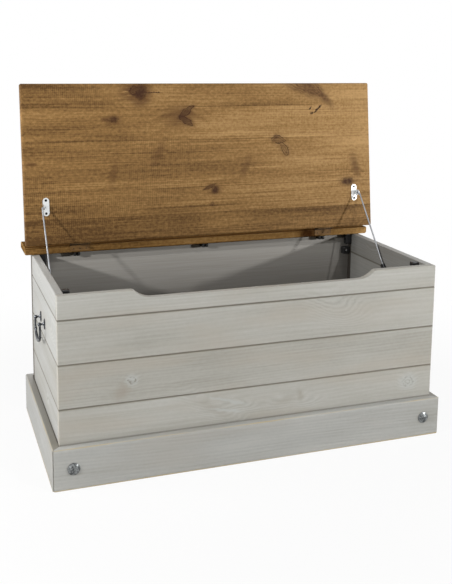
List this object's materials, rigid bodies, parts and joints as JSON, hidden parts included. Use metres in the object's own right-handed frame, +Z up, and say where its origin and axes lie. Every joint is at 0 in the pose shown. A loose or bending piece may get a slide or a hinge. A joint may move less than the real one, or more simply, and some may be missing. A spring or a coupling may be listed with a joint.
{
  "type": "storage trunk",
  "caption": "Plank-built pine storage trunk on a plinth frame, with a scooped front edge, a hinged lid held open by rod stays, domed studs and drop handles on the ends.",
  "frame": {"origin": "on the floor, in the middle of the trunk's plan", "axes": "+Z up, +X to the right of someone facing the front, the front looks towards -Y"},
  "size_m": [0.97, 0.4944, 0.863],
  "materials": {
    "grey_wash": "grey wash on pine",
    "waxed_pine": "brown wax on pine",
    "raw_board": "matt",
    "black_plastic": "satin",
    "pewter": "antique pewter, worn",
    "zinc": "zinc plated",
    "steel": "drawn wire",
    "bronze": "dark bronze"
  },
  "bodies": {
    "carcass": {"front_plank_1": "grey_wash", "front_plank_2": "grey_wash", "front_plank_3": "grey_wash", "front_plank_4": "grey_wash", "left_plank_1": "grey_wash", "left_plank_2": "grey_wash", "left_plank_3": "grey_wash", "left_plank_4": "grey_wash", "right_plank_1": "grey_wash", "right_plank_2": "grey_wash", "right_plank_3": "grey_wash", "right_plank_4": "grey_wash", "back_panel": "raw_board", "base_panel": "raw_board", "base_batten_front": "raw_board", "base_batten_back": "raw_board", "plinth_front": "grey_wash", "plinth_left": "grey_wash", "plinth_right": "grey_wash", "plinth_back": "grey_wash", "hinge_rail": "waxed_pine", "rail_block_left": "black_plastic", "rail_block_middle": "black_plastic", "rail_block_right": "black_plastic", "corner_block_front_left": "black_plastic", "corner_block_front_right": "black_plastic", "corner_block_back_left": "black_plastic", "corner_block_back_right": "black_plastic", "screw_block_left": "black_plastic", "screw_block_right": "black_plastic", "stud_left": "pewter", "stud_right": "pewter", "handle_left_rosette_front": "pewter", "handle_left_rosette_back": "pewter", "handle_left_post_front": "pewter", "handle_left_post_back": "pewter", "handle_right_rosette_front": "pewter", "handle_right_rosette_back": "pewter", "handle_right_post_front": "pewter", "handle_right_post_back": "pewter", "hinge_left_rail_leaf": "bronze", "hinge_left_pin": "bronze", "hinge_right_rail_leaf": "bronze", "hinge_right_pin": "bronze", "stay_left_guide": "black_plastic", "stay_right_guide": "black_plastic"},
    "lid": {"lid_panel": "waxed_pine", "hinge_left_lid_leaf": "bronze", "hinge_right_lid_leaf": "bronze", "stay_left_bracket": "zinc", "stay_right_bracket": "zinc"},
    "stay_left": {"stay_left_rod": "steel", "stay_left_clip": "steel"},
    "stay_right": {"stay_right_rod": "steel", "stay_right_clip": "steel"},
    "bail_left": {"handle_left_bail": "pewter"},
    "bail_right": {"handle_right_bail": "pewter"}
  },
  "joints": [
    {"name": "lid_hinge", "type": "hinge", "parent": "carcass", "child": "lid", "pos_m": [0, 0.16115, 0.4575], "axis": [1, 0, 0], "range_deg": [0, 97]},
    {"name": "stay_left_pivot", "type": "hinge", "parent": "lid", "child": "stay_left", "pos_m": [-0.4382, 0.13637, 0.55928], "axis": [-1, 0, 0], "range_deg": [0, 119.1]},
    {"name": "stay_right_pivot", "type": "hinge", "parent": "lid", "child": "stay_right", "pos_m": [0.4382, 0.13637, 0.55928], "axis": [-1, 0, 0], "range_deg": [0, 119.1]},
    {"name": "handle_left_swing", "type": "hinge", "parent": "carcass", "child": "bail_left", "pos_m": [-0.478, -0.00435, 0.314], "axis": [0, 1, 0], "range_deg": [-9, 170]},
    {"name": "handle_right_swing", "type": "hinge", "parent": "carcass", "child": "bail_right", "pos_m": [0.478, -0.00435, 0.314], "axis": [0, -1, 0], "range_deg": [-9, 170]}
  ],
  "couplings": [
    {"joint": "stay_left_pivot", "follows": "lid_hinge", "ratio": 1.2273},
    {"joint": "stay_right_pivot", "follows": "lid_hinge", "ratio": 1.2273}
  ]
}
